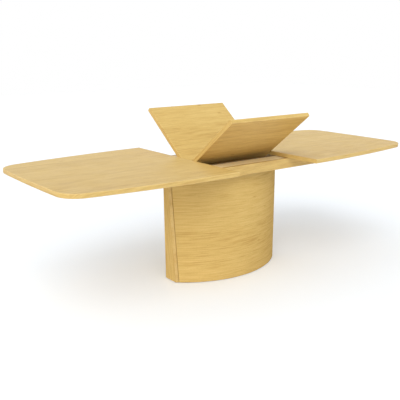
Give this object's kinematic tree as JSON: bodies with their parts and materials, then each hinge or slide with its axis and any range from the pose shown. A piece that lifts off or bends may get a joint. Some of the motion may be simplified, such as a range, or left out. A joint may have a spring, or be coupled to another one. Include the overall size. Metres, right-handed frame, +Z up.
{
  "type": "butterfly leaf table",
  "caption": "Boat-shaped pedestal dining table whose sliding halves part over a hinged butterfly leaf that swings flat into the gap and folds upright to go down into the hollow pedestal.",
  "frame": {"origin": "centre of the pedestal on the floor", "axes": "+X along the table towards its right end, +Y away from the viewer, +Z up"},
  "size_m": [2.5758, 1.02, 1.0257],
  "materials": {
    "oak_top": "satin lacquered light oak veneer, grain along the table",
    "oak_deck": "satin lacquered light oak veneer, grain along the table",
    "oak_shell": "satin lacquered bent oak plywood, grain round the curve",
    "oak_plank": "satin lacquered solid oak, grain upright",
    "inner_wood": "plain sanded birch plywood",
    "steel": "satin black powder coat",
    "bright_steel": "zinc plated",
    "brass": "satin brass",
    "nylon": "black nylon",
    "felt": "brown wool felt"
  },
  "bodies": {
    "base": {"front_deck_board": "oak_deck", "rear_deck_board": "oak_deck", "left_deck_board": "oak_deck", "right_deck_board": "oak_deck", "front_apron": "oak_deck", "rear_apron": "oak_deck", "front_shell": "oak_shell", "rear_shell": "oak_shell", "left_end_plank": "oak_plank", "right_end_plank": "oak_plank", "pedestal_floor": "inner_wood", "left_bulkhead": "inner_wood", "right_bulkhead": "inner_wood", "front_bearer": "inner_wood", "rear_bearer": "inner_wood", "left_cross_bearer": "inner_wood", "right_cross_bearer": "inner_wood", "left_leaf_track": "steel", "right_leaf_track": "steel", "track_screws": "bright_steel", "deck_bolts": "bright_steel", "left_front_runner_guides": "nylon", "left_rear_runner_guides": "nylon", "right_front_runner_guides": "nylon", "right_rear_runner_guides": "nylon", "left_front_glide_pad": "nylon", "left_rear_glide_pad": "nylon", "right_front_glide_pad": "nylon", "right_rear_glide_pad": "nylon", "front_leaf_felt": "felt", "rear_leaf_felt": "felt", "floor_pads": "felt"},
    "left_half": {"left_top": "oak_top", "left_front_runner": "steel", "left_rear_runner": "steel", "left_front_runner_block": "inner_wood", "left_rear_runner_block": "inner_wood", "left_runner_caps": "nylon"},
    "right_half": {"right_top": "oak_top", "right_front_runner": "steel", "right_rear_runner": "steel", "right_front_runner_block": "inner_wood", "right_rear_runner_block": "inner_wood", "right_runner_caps": "nylon"},
    "rear_leaf": {"rear_leaf_panel": "oak_top", "rear_hinge_leaves": "brass", "left_swing_arm": "steel", "right_swing_arm": "steel", "left_pivot_pin": "bright_steel", "right_pivot_pin": "bright_steel", "strap_screws": "bright_steel", "rear_fold_pins": "bright_steel"},
    "fold_link": {"fold_links": "brass"},
    "front_leaf": {"front_leaf_panel": "oak_top", "front_hinge_leaves": "brass", "front_fold_pins": "bright_steel"}
  },
  "joints": [
    {"name": "left_top_slide", "type": "slide", "parent": "base", "child": "left_half", "axis": [-1, 0, 0], "range_m": [-0.0007, 0.0147]},
    {"name": "right_top_slide", "type": "slide", "parent": "base", "child": "right_half", "axis": [1, 0, 0], "range_m": [-0.0007, 0.0147]},
    {"name": "rear_leaf_swing", "type": "hinge", "parent": "base", "child": "rear_leaf", "pos_m": [0, 0.052, 0.696], "axis": [1, 0, 0], "range_deg": [-38.5, 47.5]},
    {"name": "fold_link_turn", "type": "hinge", "parent": "rear_leaf", "child": "fold_link", "pos_m": [0, -0.02109, 0.70942], "axis": [1, 0, 0], "range_deg": [-47.5, 38.5]},
    {"name": "front_leaf_fold", "type": "hinge", "parent": "rear_leaf", "child": "front_leaf", "pos_m": [0, -0.02542, 0.7098], "axis": [1, 0, 0], "range_deg": [-95, 77]}
  ],
  "couplings": [
    {"joint": "fold_link_turn", "follows": "rear_leaf_swing", "ratio": -1},
    {"joint": "front_leaf_fold", "follows": "rear_leaf_swing", "ratio": -2}
  ]
}
